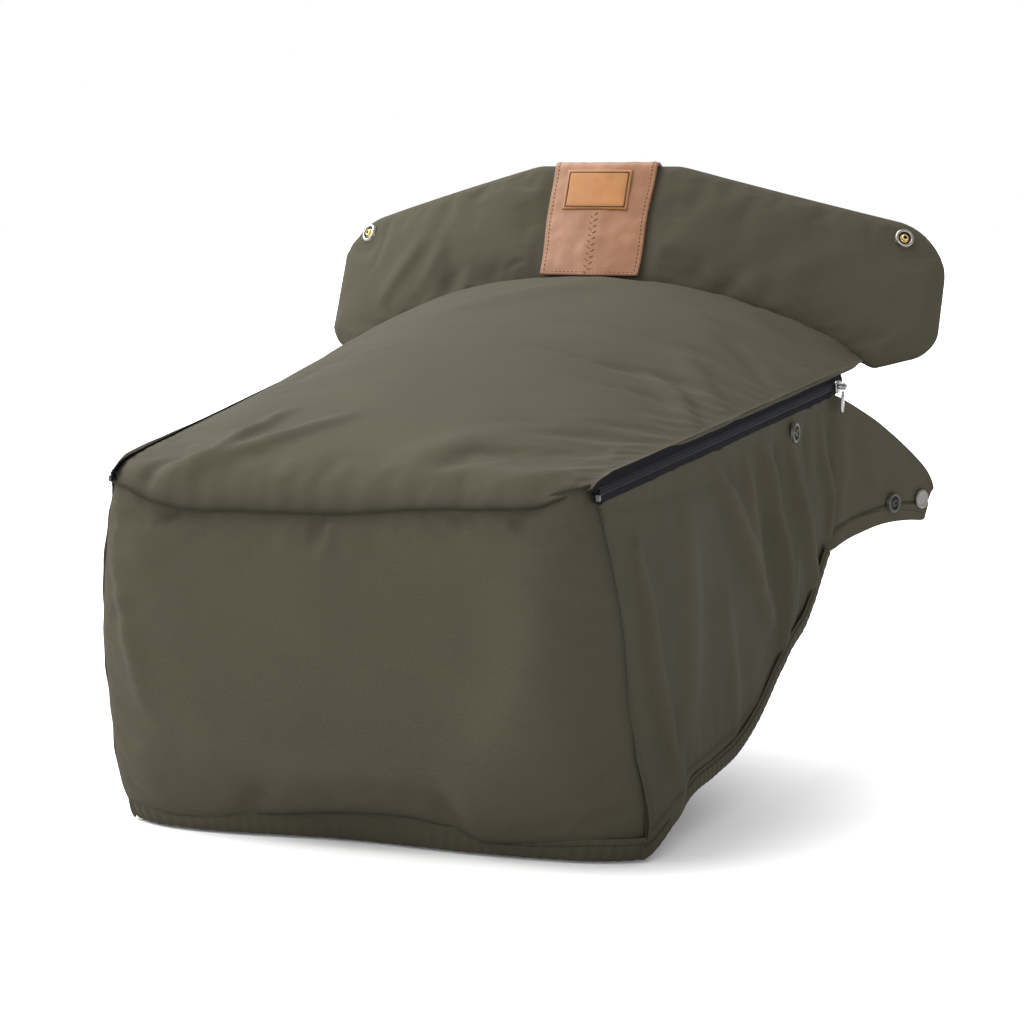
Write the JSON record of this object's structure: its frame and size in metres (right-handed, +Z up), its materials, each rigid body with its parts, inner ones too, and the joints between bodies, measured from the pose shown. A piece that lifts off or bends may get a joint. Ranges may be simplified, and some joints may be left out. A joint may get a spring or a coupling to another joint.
{
  "type": "pram seat apron",
  "caption": "Padded foot cover for a pram seat: foot box, zipped top cover that folds forward, folding wind collar with a leather strap, side flaps and press snaps.",
  "frame": {"origin": "under the middle of the foot box, at the height of its hem, where the seat's leg rest comes in", "axes": "+Z up, +Y towards the seat, so the toe end faces -Y; X across the seat"},
  "size_m": [0.5146, 0.6107, 0.4446],
  "materials": {
    "canvas": "olive brown water-repellent twill with a slight sheen",
    "wadding": "white polyester wadding",
    "lining": "dark plain-weave lining",
    "elastic": "white woven elastic",
    "zip_tape": "black woven zip tape",
    "zip_chain": "black nylon coil",
    "snap_metal": "nickel-plated with a brass stud",
    "zip_metal": "polished zinc",
    "leather": "tan, slightly glossy",
    "label": "amber with a debossed border"
  },
  "bodies": {
    "foot_box": {"toe_panel": "canvas", "toe_wadding": "wadding", "toe_lining": "lining", "toe_hem_elastic": "elastic", "toe_hem_fold": "canvas", "side_panel_left": "canvas", "side_lining_left": "lining", "side_hem_elastic_left": "elastic", "side_hem_fold_left": "canvas", "zip_tape_lower_left": "zip_tape", "zip_chain_lower_left": "zip_chain", "zip_toe_stop_left": "zip_metal", "side_snap_left": "snap_metal", "side_snap_back_left": "snap_metal", "side_panel_right": "canvas", "side_lining_right": "lining", "side_hem_elastic_right": "elastic", "side_hem_fold_right": "canvas", "zip_tape_lower_right": "zip_tape", "zip_chain_lower_right": "zip_chain", "zip_toe_stop_right": "zip_metal", "side_snap_right": "snap_metal", "side_snap_back_right": "snap_metal"},
    "cover": {"cover_panel": "canvas", "cover_wadding": "wadding", "cover_lining": "lining", "zip_tape_upper_left": "zip_tape", "zip_chain_upper_left": "zip_chain", "zip_tape_upper_right": "zip_tape", "zip_chain_upper_right": "zip_chain"},
    "collar": {"collar_front_panel": "canvas", "collar_wadding": "wadding", "collar_back_panel": "canvas", "leather_strap": "leather", "leather_label": "label", "collar_snap_left": "snap_metal", "collar_snap_back_left": "snap_metal", "collar_snap_right": "snap_metal", "collar_snap_back_right": "snap_metal"},
    "flap_left": {"flap_panel_left": "canvas", "flap_lining_left": "lining", "flap_snap_left": "snap_metal", "flap_snap_cap_left": "snap_metal"},
    "slider_left": {"zip_slider_left": "zip_metal"},
    "puller_left": {"zip_puller_left": "zip_metal"},
    "flap_right": {"flap_panel_right": "canvas", "flap_lining_right": "lining", "flap_snap_right": "snap_metal", "flap_snap_cap_right": "snap_metal"},
    "slider_right": {"zip_slider_right": "zip_metal"},
    "puller_right": {"zip_puller_right": "zip_metal"}
  },
  "joints": [
    {"name": "cover_hinge", "type": "hinge", "parent": "foot_box", "child": "cover", "pos_m": [0, -0.314, 0.2368], "axis": [1, 0, 0], "range_deg": [0, 105]},
    {"name": "collar_fold", "type": "hinge", "parent": "cover", "child": "collar", "pos_m": [0, 0.176, 0.352], "axis": [1, 0, 0], "range_deg": [0, 75]},
    {"name": "slider_run_left", "type": "slide", "parent": "foot_box", "child": "slider_left", "axis": [0.0952, -0.9918, -0.0853], "range_m": [0, 0.408]},
    {"name": "puller_swing_left", "type": "hinge", "parent": "slider_left", "child": "puller_left", "pos_m": [-0.2143, 0.13012, 0.27875], "axis": [-0.0952, 0.9918, 0.0853], "range_deg": [-4, 110]},
    {"name": "flap_swing_left", "type": "hinge", "parent": "foot_box", "child": "flap_left", "pos_m": [-0.2065, 0.13, 0.157], "axis": [0, 0, -1], "range_deg": [-12, 75]},
    {"name": "slider_run_right", "type": "slide", "parent": "foot_box", "child": "slider_right", "axis": [-0.0952, -0.9918, -0.0853], "range_m": [0, 0.408]},
    {"name": "puller_swing_right", "type": "hinge", "parent": "slider_right", "child": "puller_right", "pos_m": [0.2143, 0.13012, 0.27875], "axis": [-0.0952, -0.9918, -0.0853], "range_deg": [-4, 110]},
    {"name": "flap_swing_right", "type": "hinge", "parent": "foot_box", "child": "flap_right", "pos_m": [0.2065, 0.13, 0.157], "axis": [0, 0, 1], "range_deg": [-12, 75]}
  ],
  "couplings": [
    {"joint": "slider_run_left", "follows": "cover_hinge", "m_per_rad": 0.2215},
    {"joint": "slider_run_right", "follows": "cover_hinge", "m_per_rad": 0.2215}
  ]
}
